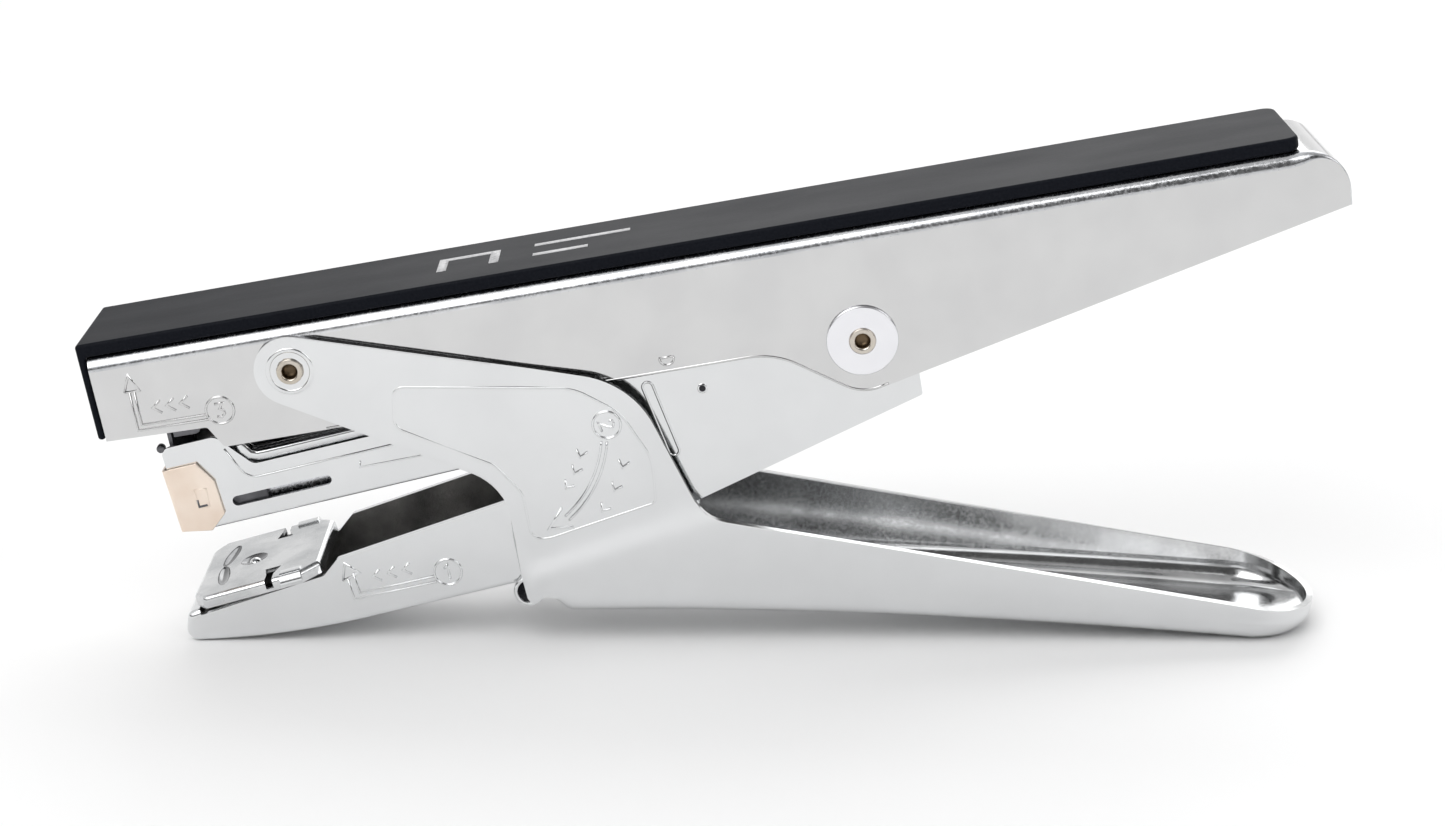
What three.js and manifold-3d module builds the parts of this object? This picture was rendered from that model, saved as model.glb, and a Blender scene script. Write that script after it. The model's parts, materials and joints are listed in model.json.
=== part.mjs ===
// Plier stapler: a long top lever with a plastic cap, a trough-shaped lower handle hinged near the
// front of the lever, and an anvil arm and a staple magazine that both hinge on the lever's rear rivet.
// Units are millimetres. +X points from the jaws to the grip, +Z is up, and the origin is the centre of
// the footprint on the table. Each moving body is drawn in a frame of its own, with its pivot at zero.

import * as THREE from "three";
import { mergeVertices } from "three/addons/utils/BufferGeometryUtils.js";
import Module from "manifold-3d";

const wasm = await Module();
wasm.setup();

// ---------------------------------------------------------------- driving dimensions

const FRONT_PIVOT = new THREE.Vector3(-59.4, 0, 42.45); // handle hinge
const REAR_PIVOT_ON_LEVER = new THREE.Vector3(80.3, 0, -9.9); // arm and magazine hinge, in the lever's frame
const LEVER_TILT = 9.94; // degrees, grip end up
const MAGAZINE_TILT = 13.89;
const ANVIL_TILT = 15.9;

const SHEET = 0.9; // steel sheet of the lever, arm and handle
const THIN_SHEET = 0.6; // steel sheet of the magazine
const RIVET_RADIUS = 1.7;
const RUNNING_GAP = 0.25; // between a rivet and the plates that turn on it

// Half widths, from the inside out.
const RAIL_HALF = 5.6;
const MAGAZINE_HALF = 7.5;
const ARM_HALF = 9.6;
const COVER_HALF = 9.8;
const LEVER_HALF = 10.7;
const EAR_HALF = 11.9;
const GRIP_HALF = 12.4;

const LEVER = { front: -28.3, rear: 150.9, top: 6.2, nose: -6.1, skirt: -9.8, edgeRadius: 1.7 };
const COVER = { front: -29.7, rear: 144.5, top: 8.3, gap: 0.1, flange: 1.1 };
const COVER_PEGS = [20, 120];
const PEG_RADIUS = 1.5;

const DRIVER = { x: -20.5, tip: -16.1, thickness: 0.6, half: 6.1 };
const DRIVER_HOLDER = { front: -19.9, rear: -9, top: 4.9, foot: -8.6, neck: -15.9, half: 6 };

const MAGAZINE = { front: -102, floor: -6.15, lip: 2, tower: 7.3, towerRear: -93.8, floorRear: -17 };
const RAIL = { front: -99.9, rear: -22, top: -0.6, foot: -4.5 };
const NOSE_CLIP = { front: -102.7, rear: -95.7, top: 4.2, foot: -5.5, gap: 0.15, sheet: 0.45 };
const ROD = { z: -3.1, radius: 0.8, front: -98.4, rear: -23.2 };
const ROD_STOP = { front: -27.4, rear: -23.4 };
const PUSHER = { front: -99.4, rear: -89, top: 0.5 };
const PUSHER_SPRING = { turns: 22, radius: 1.45, wire: 0.3 };

const WASHER = { radius: 5.1, thickness: 0.45 };
const ARM_SPRING = { radius: 3.6, wire: 0.5, half: 3.6, turns: 6, armLeg: 37.1, webLeg: 13.6 };

// ---------------------------------------------------------------- solids

const { degToRad } = THREE.MathUtils;

// A closed outline through corners given as [x, y] or [x, y, fillet radius].
function outline(corners) {
  const shape = new THREE.Shape();
  const at = (i) => new THREE.Vector2(...corners.at(i % corners.length).slice(0, 2));
  corners.forEach(([x, y, radius = 0], i) => {
    if (!radius) {
      if (i) shape.lineTo(x, y);
      else shape.moveTo(x, y);
      return;
    }
    const corner = new THREE.Vector2(x, y);
    const back = at(i - 1).sub(corner).normalize();
    const ahead = at(i + 1).sub(corner).normalize();
    const halfAngle = Math.acos(back.dot(ahead)) / 2;
    const reach = radius / Math.tan(halfAngle);
    const centre = back.clone().add(ahead).setLength(radius / Math.sin(halfAngle)).add(corner);
    const start = back.clone().multiplyScalar(reach).add(corner);
    const end = ahead.clone().multiplyScalar(reach).add(corner);
    if (i) shape.lineTo(start.x, start.y);
    const [from, to] = [start.sub(centre).angle(), end.sub(centre).angle()];
    shape.absarc(centre.x, centre.y, radius, from, to, back.cross(ahead) > 0);
  });
  return shape;
}

// A three.js geometry as a manifold solid.
function solid(geometry) {
  const bare = geometry.clone();
  bare.deleteAttribute("normal");
  bare.deleteAttribute("uv");
  const merged = mergeVertices(bare, 1e-4);
  const vertProperties = new Float32Array(merged.attributes.position.array);
  const triVerts = new Uint32Array(merged.index.array);
  return new wasm.Manifold(new wasm.Mesh({ numProp: 3, vertProperties, triVerts }));
}

function extruded(corners, depth, curveSegments) {
  return new THREE.ExtrudeGeometry(outline(corners), { depth, curveSegments, bevelEnabled: false });
}

// An outline in X and Z, spread from -half to +half across the width.
function sideBlock(corners, half, curveSegments = 3) {
  return solid(extruded(corners, 2 * half, curveSegments).rotateX(Math.PI / 2).translate(0, half, 0));
}

// An outline in Y and Z, run along X.
function runBlock(corners, from, to, curveSegments = 3) {
  const [x, y, z] = [new THREE.Vector3(1, 0, 0), new THREE.Vector3(0, 1, 0), new THREE.Vector3(0, 0, 1)];
  const turned = extruded(corners, to - from, curveSegments);
  turned.applyMatrix4(new THREE.Matrix4().makeBasis(y, z, x));
  return solid(turned.translate(from, 0, 0));
}

// An outline in X and Y, raised from one height to another.
function planBlock(corners, from, to, curveSegments = 3) {
  return solid(extruded(corners, to - from, curveSegments).translate(0, 0, from));
}

function box(x0, x1, y0, y1, z0, z1) {
  const geometry = new THREE.BoxGeometry(x1 - x0, y1 - y0, z1 - z0);
  return solid(geometry.translate((x0 + x1) / 2, (y0 + y1) / 2, (z0 + z1) / 2));
}

// A cylinder across the width, from y0 to y1.
function crossPin(radius, y0, y1, x = 0, z = 0, sides = 24) {
  const geometry = new THREE.CylinderGeometry(radius, radius, y1 - y0, sides);
  return solid(geometry.translate(x, (y0 + y1) / 2, z));
}

function upright(radius, z0, z1, x, y = 0, sides = 20) {
  const geometry = new THREE.CylinderGeometry(radius, radius, z1 - z0, sides).rotateX(Math.PI / 2);
  return solid(geometry.translate(x, y, (z0 + z1) / 2));
}

// A skin through sections that each list the same number of points, closed by flat ends.
function loft(sections) {
  const count = sections[0].length;
  const positions = sections.flat().flatMap((p) => [p.x, p.y, p.z]);
  const index = [];
  for (let s = 0; s + 1 < sections.length; s += 1) {
    for (let i = 0; i < count; i += 1) {
      const a = s * count + i;
      const b = s * count + ((i + 1) % count);
      index.push(a, a + count, b, b, a + count, b + count);
    }
  }
  const last = (sections.length - 1) * count;
  for (let i = 1; i + 1 < count; i += 1) {
    index.push(0, i, i + 1, last, last + i + 1, last + i);
  }
  const geometry = new THREE.BufferGeometry();
  geometry.setAttribute("position", new THREE.Float32BufferAttribute(positions, 3));
  geometry.setIndex(index);
  return solid(geometry);
}

// Round wire along a curve.
function wire(curve, radius, steps, sides = 6) {
  const section = new THREE.Shape().absarc(0, 0, radius, 0, 2 * Math.PI);
  const options = { steps, extrudePath: curve, curveSegments: sides / 2, bevelEnabled: false };
  return solid(new THREE.ExtrudeGeometry(section, options));
}

// A tube across the width, flared at both ends.
function tubularRivet(halfLength, headRadius, headThickness) {
  const neck = halfLength - headThickness;
  return crossPin(RIVET_RADIUS, -halfLength, halfLength)
    .add(crossPin(headRadius, neck, halfLength))
    .add(crossPin(headRadius, -halfLength, -neck))
    .subtract(crossPin(RIVET_RADIUS * 0.6, -halfLength - 1, halfLength + 1));
}

// ---------------------------------------------------------------- materials

function metal(color, roughness) {
  return new THREE.MeshStandardMaterial({ color, roughness, metalness: 1 });
}

const chrome = metal(0xdfe1e4, 0.12);
const zinc = metal(0xd2d4d8, 0.28);
const springSteel = metal(0x8b8d92, 0.35);
const hardSteel = metal(0x55575c, 0.4);
const nickel = metal(0xc9c0b2, 0.25);
const champagne = metal(0xe7d6c8, 0.35);
const charcoal = new THREE.MeshStandardMaterial({ color: 0x35363a, roughness: 0.45, metalness: 0 });

function node(name, manifold, material) {
  const { vertProperties, triVerts } = manifold.getMesh();
  const geometry = new THREE.BufferGeometry();
  geometry.setAttribute("position", new THREE.BufferAttribute(vertProperties, 3));
  geometry.setIndex(new THREE.BufferAttribute(triVerts, 1));
  const mesh = new THREE.Mesh(geometry.toNonIndexed(), material);
  mesh.geometry.computeVertexNormals();
  mesh.name = name;
  return mesh;
}

// A frame that sits at a pivot, with its X axis raised by tilt degrees.
function frame(pivot, tilt, meshes) {
  const group = new THREE.Group();
  group.position.copy(pivot);
  group.rotation.y = -degToRad(tilt);
  group.add(...meshes);
  return group;
}

// ---------------------------------------------------------------- top lever, in the lever's frame

const REAR = REAR_PIVOT_ON_LEVER;

function topChannel() {
  const { front, rear, top, nose, skirt, edgeRadius } = LEVER;
  const side = [
    [front, top],
    [rear, top, 6],
    [150.5, -2.3, 0.8],
    [79.1, -18, 6],
    [67.6, skirt, 12],
    [-11.9, skirt, 0.6],
    [-13.7, -6.5, 0.6],
    [front, nose, 0.6],
  ];
  const hollowSide = [
    [front - 1, top - SHEET],
    [rear - SHEET, top - SHEET, 5],
    [rear - SHEET, -30],
    [front - 1, -30],
  ];
  const acrossTop = (half, height, radius) => [
    [-half, -30],
    [half, -30],
    [half, height, radius],
    [-half, height, radius],
  ];
  const skin = runBlock(acrossTop(LEVER_HALF, top, edgeRadius), front, rear);
  const inside = runBlock(acrossTop(LEVER_HALF - SHEET, top - SHEET, edgeRadius - SHEET), front - 1, rear);
  const hollow = sideBlock(hollowSide, LEVER_HALF).intersect(inside);
  let channel = sideBlock(side, LEVER_HALF, 4).intersect(skin).subtract(hollow);
  channel = channel.subtract(crossPin(RIVET_RADIUS + 0.1, -20, 20));
  channel = channel.subtract(crossPin(RIVET_RADIUS + 0.1, -20, 20, REAR.x, REAR.z));
  for (const x of COVER_PEGS) {
    channel = channel.subtract(upright(PEG_RADIUS + 0.2, 0, 10, x));
  }
  return node("top_channel", channel, chrome);
}

function topCover() {
  const { front, rear, top, gap, flange } = COVER;
  const underside = LEVER.top + gap;
  const side = [
    [front, top, 1],
    [rear, top, 1],
    [rear, underside],
    [front + flange, underside],
    [front + flange, LEVER.nose],
    [front, LEVER.nose],
  ];
  const across = [
    [-COVER_HALF, -20],
    [COVER_HALF, -20],
    [COVER_HALF, top, 0.7],
    [-COVER_HALF, top, 0.7],
  ];
  let cover = sideBlock(side, COVER_HALF).intersect(runBlock(across, front - 1, rear + 1, 2));
  for (const x of COVER_PEGS) {
    cover = cover.add(upright(PEG_RADIUS, 3.8, underside + 0.5, x));
  }
  return node("top_cover", cover, charcoal);
}

function driverBlade() {
  const { x, tip, thickness, half } = DRIVER;
  const blade = box(x - thickness / 2, x + thickness / 2, -half, half, tip, DRIVER_HOLDER.top);
  return node("driver_blade", blade, hardSteel);
}

// The bracket that holds the driver against the lever's web.
function driverHolder() {
  const { front, rear, top, foot, neck, half } = DRIVER_HOLDER;
  const side = [
    [front, foot],
    [neck, foot, 0.8],
    [neck, 1.2, 1.5],
    [rear, 1.2, 1],
    [rear, top],
    [front, top],
  ];
  const holder = sideBlock(side, half).subtract(upright(1.2, -20, 20, -12.5));
  return node("driver_holder", holder, hardSteel);
}

function driverRivet() {
  const rivet = upright(0.95, 0.2, 4.9, -12.5).add(upright(1.9, -0.4, 0.9, -12.5));
  return node("driver_rivet", rivet, zinc);
}

// The leaf under the web that keeps the magazine down.
function magazineLeafSpring() {
  const path = new THREE.Shape();
  path.moveTo(52, 4.9);
  path.lineTo(38, 4.9);
  path.bezierCurveTo(28.4, 4.9, 20.4, -6.4, 6.2, -11.5);
  path.lineTo(3.3, -10.9);
  path.lineTo(3.2, -11.4);
  path.lineTo(6, -12.1);
  path.bezierCurveTo(19.8, -7.2, 27.8, 4.3, 38, 4.3);
  path.lineTo(52, 4.3);
  const options = { depth: 8, curveSegments: 8, bevelEnabled: false };
  const leaf = solid(new THREE.ExtrudeGeometry(path, options).rotateX(Math.PI / 2).translate(0, 4, 0));
  return node("magazine_leaf_spring", leaf, springSteel);
}

function frontRivet() {
  return node("front_rivet", tubularRivet(EAR_HALF + 0.5, 2.4, 0.4), nickel);
}

function rearRivet() {
  const headThickness = 0.25;
  const halfLength = LEVER_HALF + 0.1 + WASHER.thickness + headThickness;
  const rivet = tubularRivet(halfLength, 2.2, headThickness - 0.05);
  return node("rear_rivet", rivet.translate([REAR.x, 0, REAR.z]), nickel);
}

function rearWasher(name, side) {
  const inner = LEVER_HALF + 0.1;
  const outer = inner + WASHER.thickness;
  const [y0, y1] = side > 0 ? [inner, outer] : [-outer, -inner];
  const disc = crossPin(WASHER.radius, y0, y1, REAR.x, REAR.z, 40);
  return node(name, disc.subtract(crossPin(RIVET_RADIUS + 0.1, -20, 20, REAR.x, REAR.z)), zinc);
}

// The tube on the rear rivet that carries the torsion spring.
function pivotSleeve() {
  const half = MAGAZINE_HALF - THIN_SHEET - 0.3;
  const sleeve = crossPin(2.6, -half, half, REAR.x, REAR.z);
  return node("pivot_sleeve", sleeve.subtract(crossPin(RIVET_RADIUS + 0.15, -20, 20, REAR.x, REAR.z)), zinc);
}

// A torsion spring: its long leg presses the anvil arm down and its short leg bears on the lever's web.
class TorsionCurve extends THREE.Curve {
  getPoint(t, target = new THREE.Vector3()) {
    const { radius, half, turns, armLeg, webLeg } = ARM_SPRING;
    const legShare = 0.12;
    const armAngle = degToRad(130.8);
    const webAngle = degToRad(170) - 2 * Math.PI * turns;
    const along = THREE.MathUtils.clamp((t - legShare) / (1 - 2 * legShare), 0, 1);
    const angle = armAngle + (webAngle - armAngle) * along;
    const onArmLeg = Math.max(0, 1 - t / legShare) * armLeg;
    const onWebLeg = Math.max(0, 1 - (1 - t) / legShare) * webLeg;
    const reach = onWebLeg - onArmLeg;
    target.x = REAR.x + radius * Math.cos(angle) + reach * Math.sin(angle);
    target.z = REAR.z + radius * Math.sin(angle) - reach * Math.cos(angle);
    target.y = half * (2 * along - 1);
    return target;
  }
}

function armReturnSpring() {
  const coil = wire(new TorsionCurve(), ARM_SPRING.wire, 120);
  return node("arm_return_spring", coil, springSteel);
}

// ---------------------------------------------------------------- lower handle, in the front pivot's frame

const HANDLE = {
  earRadius: 5.1,
  topCorner: [48.2, -1.7, 13],
  rimStart: [58.25, -22.1, 7],
  rimSlope: -0.179,
  tip: 149.3,
  spoonLength: 10.5,
  throat: [30, -17.3, 9],
  webFront: 37.6,
  start: -8,
  floor: -37.6,
  tail: -42.45,
  foot: 11,
  footRadius: 4,
  frontFootRadius: 3.5,
};

// One U-shaped section: each wall leans in towards a rounded foot.
function troughSection(x, rimHalf, footHalf, top, bottom, radius) {
  const arcSteps = 4;
  const right = [new THREE.Vector3(x, rimHalf, top)];
  for (let i = 0; i <= arcSteps; i += 1) {
    const angle = (i / arcSteps) * (Math.PI / 2);
    const y = footHalf - radius + radius * Math.cos(angle);
    right.push(new THREE.Vector3(x, y, bottom + radius - radius * Math.sin(angle)));
  }
  const left = right.map((p) => new THREE.Vector3(p.x, -p.y, p.z)).reverse();
  return [...right, ...left];
}

// A smooth step from 0 at x0 to 1 at x1.
function ease(x, x0, x1) {
  return THREE.MathUtils.smoothstep(x, x0, x1);
}

function rimHeight(x) {
  return HANDLE.rimStart[1] + (x - HANDLE.rimStart[0]) * HANDLE.rimSlope;
}

// The trough as a solid block; inset shrinks it to the space inside the sheet.
function troughBlock(inset) {
  const above = 9; // how far the block runs on above the rim, before the profile trims it
  const { tip, spoonLength, start, foot, footRadius, frontFootRadius, floor, tail } = HANDLE;
  const spoonStart = tip - spoonLength;
  const bodySteps = 18;
  const spoonSteps = 7;
  const sections = [];
  for (let i = 0; i <= bodySteps; i += 1) {
    const x = start + ((spoonStart - start) * i) / bodySteps;
    const widen = ease(x, 20, 62);
    const rimHalf = EAR_HALF + (GRIP_HALF - EAR_HALF) * widen;
    const footHalf = EAR_HALF + (foot - EAR_HALF) * ease(x, 20, spoonStart + 10);
    const bottom = floor + (tail - floor) * Math.max(0, (x - 50) / (spoonStart - 50)) ** 1.6;
    const radius = frontFootRadius + (footRadius - frontFootRadius) * widen;
    const lean = (rimHalf - footHalf) / (rimHeight(Math.max(x, HANDLE.rimStart[0])) - bottom);
    const top = rimHeight(Math.max(x, HANDLE.rimStart[0])) + above + 30 * (1 - ease(x, 40, 75));
    const topHalf = footHalf + lean * (top - bottom);
    sections.push(troughSection(x, topHalf - inset, footHalf - inset, top, bottom + inset, radius - inset));
  }
  for (let i = 1; i <= spoonSteps; i += 1) {
    const angle = (i / (spoonSteps + 0.3)) * (Math.PI / 2);
    const x = spoonStart + (spoonLength - inset) * Math.sin(angle);
    const narrow = Math.cos(angle);
    const bottom = tail + 3.4 * (1 - narrow) ** 1.4 + inset;
    const footHalf = (foot - inset) * narrow;
    const lean = (GRIP_HALF - foot) / (rimHeight(spoonStart) - tail);
    const top = rimHeight(x) + above;
    const topHalf = footHalf + narrow * lean * (top - bottom);
    sections.push(troughSection(x, topHalf, footHalf, top, bottom, (footRadius - inset) * narrow));
  }
  return loft(sections);
}

function lowerHandle() {
  const { earRadius, topCorner, rimStart, tip, throat, webFront } = HANDLE;
  const side = [
    [0.7, earRadius - 0.05],
    topCorner,
    rimStart,
    [tip + 4, rimHeight(tip + 4)],
    [tip + 4, -60],
    [webFront, -60],
    [webFront, -36, 0.6],
    [33.1, -36, 0.6],
    [31.9, -30.9],
    throat,
    [-1.9, -4.73],
    [0, 0],
  ];
  const profile = sideBlock(side, 20, 4).add(crossPin(earRadius, -20, 20, 0, 0, 32));
  const handle = troughBlock(0)
    .intersect(profile)
    .subtract(troughBlock(SHEET))
    .subtract(crossPin(RIVET_RADIUS + RUNNING_GAP, -20, 20));
  return node("lower_handle", handle, chrome);
}

// ---------------------------------------------------------------- anvil arm, in the rear pivot's level frame

const ARM_FRONT = -99.1;
const ARM_FOOT = -46.6; // the arm's front foot rests on the table

function anvilArm() {
  const side = [
    [ARM_FRONT, ARM_FOOT, 2.2],
    [-82.9, -45.8, 120],
    [-37.3, -34.4, 6],
    [8.8, -8.45, 0.4],
    [8.25, -5.2],
    [7, 7, 6],
    [-12, 6, 5],
    [-38, -1.5, 5],
    [-48.5, -23.8, 6],
    [-75.7, -33.5, 0.6],
    [-77.8, -36.2, 0.6],
    [-97, -41.7, 1],
  ];
  const webEnd = [-23, -25.35];
  const hollow = [
    [ARM_FRONT + SHEET, ARM_FOOT + SHEET, 1.3],
    [-82.9, -45.8 + SHEET, 120],
    [-37.5, -33.5, 5],
    webEnd,
    [webEnd[0], -60],
    [30, -60],
    [30, 30],
    [ARM_FRONT + SHEET, 30],
  ];
  const arm = sideBlock(side, ARM_HALF, 4)
    .subtract(sideBlock(hollow, ARM_HALF - SHEET, 4))
    .subtract(crossPin(RIVET_RADIUS + RUNNING_GAP, -20, 20))
    .subtract(upright(1.3, -50, -40, -89.4));
  return node("anvil_arm", arm, chrome);
}

// The anvil is a shallow tray over the arm's walls, with a clinching groove across it.
const ANVIL = { half: 11, length: 19.4, skirt: 1.8, chamfer: 2.6, notch: 11.4, groove: 3.6, rivet: 8 };

function anvilPlan(inset) {
  const { half, length, chamfer } = ANVIL;
  const side = half - inset;
  return [
    [inset, -side + chamfer, 1],
    [inset + chamfer * 0.7, -side, 1],
    [length - 3, -side, 0.8],
    [length, -side + 2.4, 0.8],
    [length, side - 2.4, 0.8],
    [length - 3, side, 0.8],
    [inset + chamfer * 0.7, side, 1],
    [inset, side - chamfer, 1],
  ];
}

function anvilPlate() {
  const { half, length, skirt, notch, groove, rivet } = ANVIL;
  const hollow = planBlock(anvilPlan(SHEET), -skirt - 1, -SHEET);
  let plate = planBlock(anvilPlan(0), -skirt, 0)
    .subtract(hollow)
    .subtract(box(13.5, length + 1, -half - 1, half + 1, -skirt - 1, -SHEET));
  for (const side of [-1, 1]) {
    const [y0, y1] = side > 0 ? [half - 2.4, half + 1] : [-half - 1, -half + 2.4];
    plate = plate.subtract(box(notch, notch + 1.1, y0, y1, -3, 1));
  }
  const clinch = new THREE.CylinderGeometry(0.7, 0.7, 12.6, 12).translate(groove, 0, 0.35);
  plate = plate.subtract(solid(clinch)).subtract(upright(1.1, -4, 1, rivet));
  return node("anvil_plate", plate, zinc);
}

function anvilRivet() {
  const head = upright(2, 0.05, 0.4, ANVIL.rivet);
  const shank = upright(0.9, -2.5, 0.2, ANVIL.rivet);
  return node("anvil_rivet", head.add(shank), zinc);
}

// ---------------------------------------------------------------- magazine, in the rear pivot's tilted frame

function magazineShell() {
  const { front, floor, lip, tower, towerRear, floorRear } = MAGAZINE;
  const lobeRadius = 5.2;
  const side = [
    [front, floor],
    [-8, floor],
    [0, -lobeRadius],
    [0, lobeRadius],
    [-9, lip, 3],
    [-89.6, lip, 1.6],
    [towerRear, tower, 1.8],
    [front, tower, 1.2],
  ];
  const half = MAGAZINE_HALF - THIN_SHEET;
  const lipHalf = half - 0.3;
  const inner = floor + THIN_SHEET;
  const shell = sideBlock(side, MAGAZINE_HALF)
    .add(crossPin(lobeRadius, -MAGAZINE_HALF, MAGAZINE_HALF, 0, 0, 32))
    .subtract(box(front - 1, 10, -lipHalf, lipHalf, inner, 20))
    .subtract(box(-88, 10, -half, half, inner, lip - THIN_SHEET))
    .subtract(box(front - 1, -87.9, -half, half, inner, 20))
    .subtract(box(floorRear, 10, -half, half, floor - 1, 20))
    .subtract(box(front - 1, RAIL.front + 0.1, -half, half, floor - 1, 20))
    .subtract(magazineWindow())
    .subtract(crossPin(RIVET_RADIUS + RUNNING_GAP, -20, 20));
  return node("magazine_shell", shell, chrome);
}

// The long round-ended slot in both walls that shows how many staples are left.
function magazineWindow() {
  const [x0, x1, z, radius] = [-94.2, -79.3, -2.9, 0.75];
  const slot = [
    [x0, z - radius, radius * 0.98],
    [x1, z - radius, radius * 0.98],
    [x1, z + radius, radius * 0.98],
    [x0, z + radius, radius * 0.98],
  ];
  return sideBlock(slot, 20, 2);
}

// The clip that wraps the magazine's front and closes the driver's slot.
function magazineNose() {
  const { front, rear, top, foot, gap, sheet } = NOSE_CLIP;
  const inner = MAGAZINE_HALF + gap;
  const side = [
    [front, foot, 0.5],
    [-98.2, MAGAZINE.floor - 0.1],
    [rear, -4.2],
    [rear, 1],
    [-97.5, top],
    [front, top, 0.5],
  ];
  const hollow = box(front + sheet, 0, -inner, inner, -20, 20);
  return node("magazine_nose", sideBlock(side, inner + sheet, 2).subtract(hollow), champagne);
}

// The inverted channel that the staples straddle.
function stapleRail() {
  const { front, rear, top, foot } = RAIL;
  const rail = box(front, rear, -RAIL_HALF, RAIL_HALF, foot, top);
  const innerHalf = RAIL_HALF - THIN_SHEET;
  const inside = box(front - 1, rear + 1, -innerHalf, innerHalf, foot - 1, top - THIN_SHEET);
  return node("staple_rail", rail.subtract(inside), zinc);
}

function rodStop() {
  const { front, rear } = ROD_STOP;
  const half = RAIL_HALF - THIN_SHEET - 0.1;
  const stop = box(front, rear, -half, half, MAGAZINE.floor + THIN_SHEET + 0.1, RAIL.top - THIN_SHEET - 0.1);
  const bore = new THREE.CylinderGeometry(ROD.radius + 0.1, ROD.radius + 0.1, 30, 12).rotateZ(Math.PI / 2);
  return node("rod_stop", stop.subtract(solid(bore.translate(front, 0, ROD.z))), hardSteel);
}

function pusherRod() {
  const rod = new THREE.CylinderGeometry(ROD.radius, ROD.radius, ROD.rear - ROD.front, 12).rotateZ(Math.PI / 2);
  return node("pusher_rod", solid(rod.translate((ROD.rear + ROD.front) / 2, 0, ROD.z)), zinc);
}

class CoilCurve extends THREE.Curve {
  getPoint(t, target = new THREE.Vector3()) {
    const start = PUSHER.rear + 0.7;
    const end = ROD_STOP.front - 0.7;
    const angle = 2 * Math.PI * PUSHER_SPRING.turns * t;
    const { radius } = PUSHER_SPRING;
    return target.set(start + (end - start) * t, radius * Math.cos(angle), ROD.z + radius * Math.sin(angle));
  }
}

function pusherSpring() {
  const coil = wire(new CoilCurve(), PUSHER_SPRING.wire, PUSHER_SPRING.turns * 9, 4);
  return node("pusher_spring", coil, springSteel);
}

// The follower rides over the rail, with a lug inside it that runs on the rod.
function staplePusher() {
  const { front, rear, top } = PUSHER;
  const half = MAGAZINE_HALF - THIN_SHEET - 0.25;
  const foot = MAGAZINE.floor + THIN_SHEET + 0.15;
  const gap = 0.2;
  const railSpace = [-1, 1].map((side) => {
    const y0 = side * (RAIL_HALF + gap);
    const y1 = side * (RAIL_HALF - THIN_SHEET - gap);
    return box(front - 1, rear + 1, Math.min(y0, y1), Math.max(y0, y1), RAIL.foot - gap, RAIL.top + gap);
  });
  const railWeb = box(
    front - 1, rear + 1, -RAIL_HALF - gap, RAIL_HALF + gap, RAIL.top - THIN_SHEET - gap, RAIL.top + gap,
  );
  const bore = new THREE.CylinderGeometry(ROD.radius + 0.15, ROD.radius + 0.15, 30, 12).rotateZ(Math.PI / 2);
  const pusher = box(front, rear, -half, half, foot, top)
    .subtract(railSpace[0])
    .subtract(railSpace[1])
    .subtract(railWeb)
    .subtract(solid(bore.translate(front, 0, ROD.z)));
  return node("staple_pusher", pusher, hardSteel);
}

// ---------------------------------------------------------------- assembly

const leverTurn = new THREE.Euler(0, -degToRad(LEVER_TILT), 0);
const rearPivot = REAR_PIVOT_ON_LEVER.clone().applyEuler(leverTurn).add(FRONT_PIVOT);

const topLever = frame(FRONT_PIVOT, LEVER_TILT, [
  topChannel(),
  topCover(),
  driverBlade(),
  driverHolder(),
  driverRivet(),
  magazineLeafSpring(),
  frontRivet(),
  rearRivet(),
  rearWasher("rear_washer_left", 1),
  rearWasher("rear_washer_right", -1),
  pivotSleeve(),
  armReturnSpring(),
]);

const handle = frame(FRONT_PIVOT, 0, [lowerHandle()]);

const anvil = frame(new THREE.Vector3(-97.1, 0, -39.5), ANVIL_TILT, [anvilPlate(), anvilRivet()]);
const arm = frame(rearPivot, 0, [anvilArm(), anvil]);

const magazine = frame(rearPivot, MAGAZINE_TILT, [
  magazineShell(),
  magazineNose(),
  stapleRail(),
  rodStop(),
  pusherRod(),
  pusherSpring(),
  staplePusher(),
]);

const stapler = new THREE.Group();
stapler.add(topLever, handle, arm, magazine);

export default stapler;
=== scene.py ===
# The looks of the plier stapler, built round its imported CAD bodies.
# Each piece is drawn in millimetres in its body's own frame, with the body's hinge at zero: X runs from the
# jaws to the grip, Y across the width and Z up. The near side, which faces the camera, is at negative Y.

import json
from math import acos, asin, atan2, cos, pi, radians, sin, sqrt, tan

import bmesh
import bpy
from mathutils import Matrix, Vector


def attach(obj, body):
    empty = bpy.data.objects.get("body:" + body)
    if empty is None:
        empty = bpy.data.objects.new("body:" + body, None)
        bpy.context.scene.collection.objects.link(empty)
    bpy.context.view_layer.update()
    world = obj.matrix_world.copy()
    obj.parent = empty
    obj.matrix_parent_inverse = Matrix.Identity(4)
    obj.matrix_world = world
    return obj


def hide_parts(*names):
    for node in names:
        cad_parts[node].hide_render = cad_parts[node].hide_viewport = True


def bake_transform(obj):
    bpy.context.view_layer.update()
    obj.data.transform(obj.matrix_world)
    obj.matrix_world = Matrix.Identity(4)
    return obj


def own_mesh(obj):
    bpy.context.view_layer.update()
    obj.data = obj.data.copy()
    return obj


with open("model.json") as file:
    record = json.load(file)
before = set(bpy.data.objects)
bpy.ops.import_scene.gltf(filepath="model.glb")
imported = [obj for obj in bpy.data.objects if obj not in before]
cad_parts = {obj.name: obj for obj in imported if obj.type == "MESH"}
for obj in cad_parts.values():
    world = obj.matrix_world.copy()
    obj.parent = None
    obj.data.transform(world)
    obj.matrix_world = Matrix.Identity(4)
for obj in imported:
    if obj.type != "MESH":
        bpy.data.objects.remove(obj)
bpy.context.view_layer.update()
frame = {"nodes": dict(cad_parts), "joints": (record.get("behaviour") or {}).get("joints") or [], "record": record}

MM = 0.001
NEAR, FAR = -1, 1
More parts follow.
